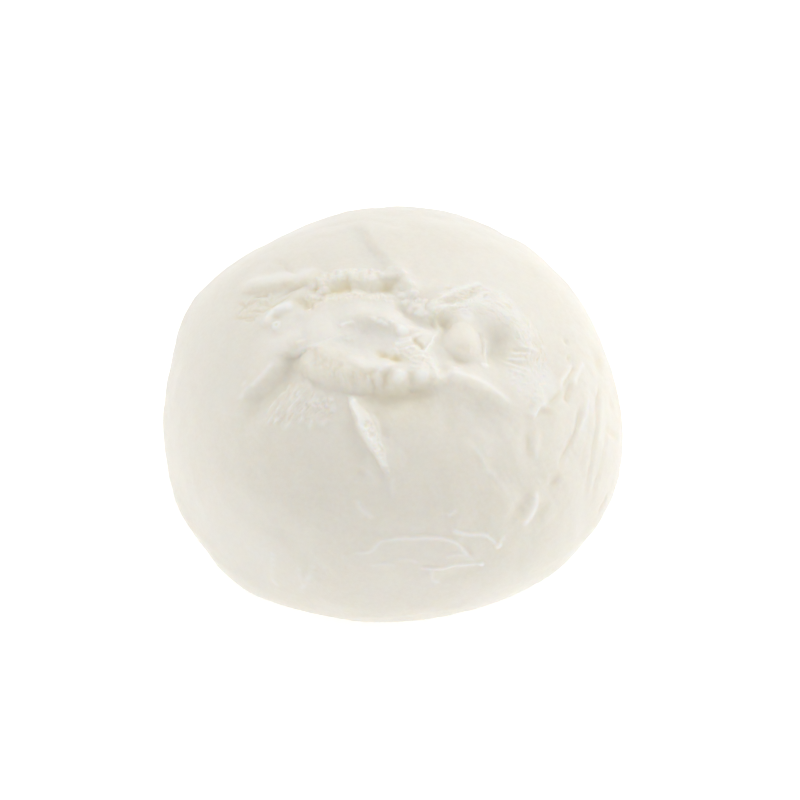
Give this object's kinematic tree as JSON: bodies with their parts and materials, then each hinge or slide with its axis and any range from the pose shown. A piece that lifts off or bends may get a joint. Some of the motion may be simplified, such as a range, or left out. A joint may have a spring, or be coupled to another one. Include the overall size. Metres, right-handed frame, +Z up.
{
  "type": "mozzarella ball",
  "caption": "Fresh white cheese ball, slightly sagging, with a torn and folded pinch knot on its crown and a small flat base.",
  "frame": {"origin": "centre of the footprint, on the table", "axes": "+Z up; -Y towards the viewer, where the front of the pinch knot faces; +X to the viewer's right"},
  "size_m": [0.0686, 0.0686, 0.0464],
  "materials": {
    "cheese": null
  },
  "bodies": {
    "root": {"mozzarella_ball": "cheese"}
  },
  "joints": []
}
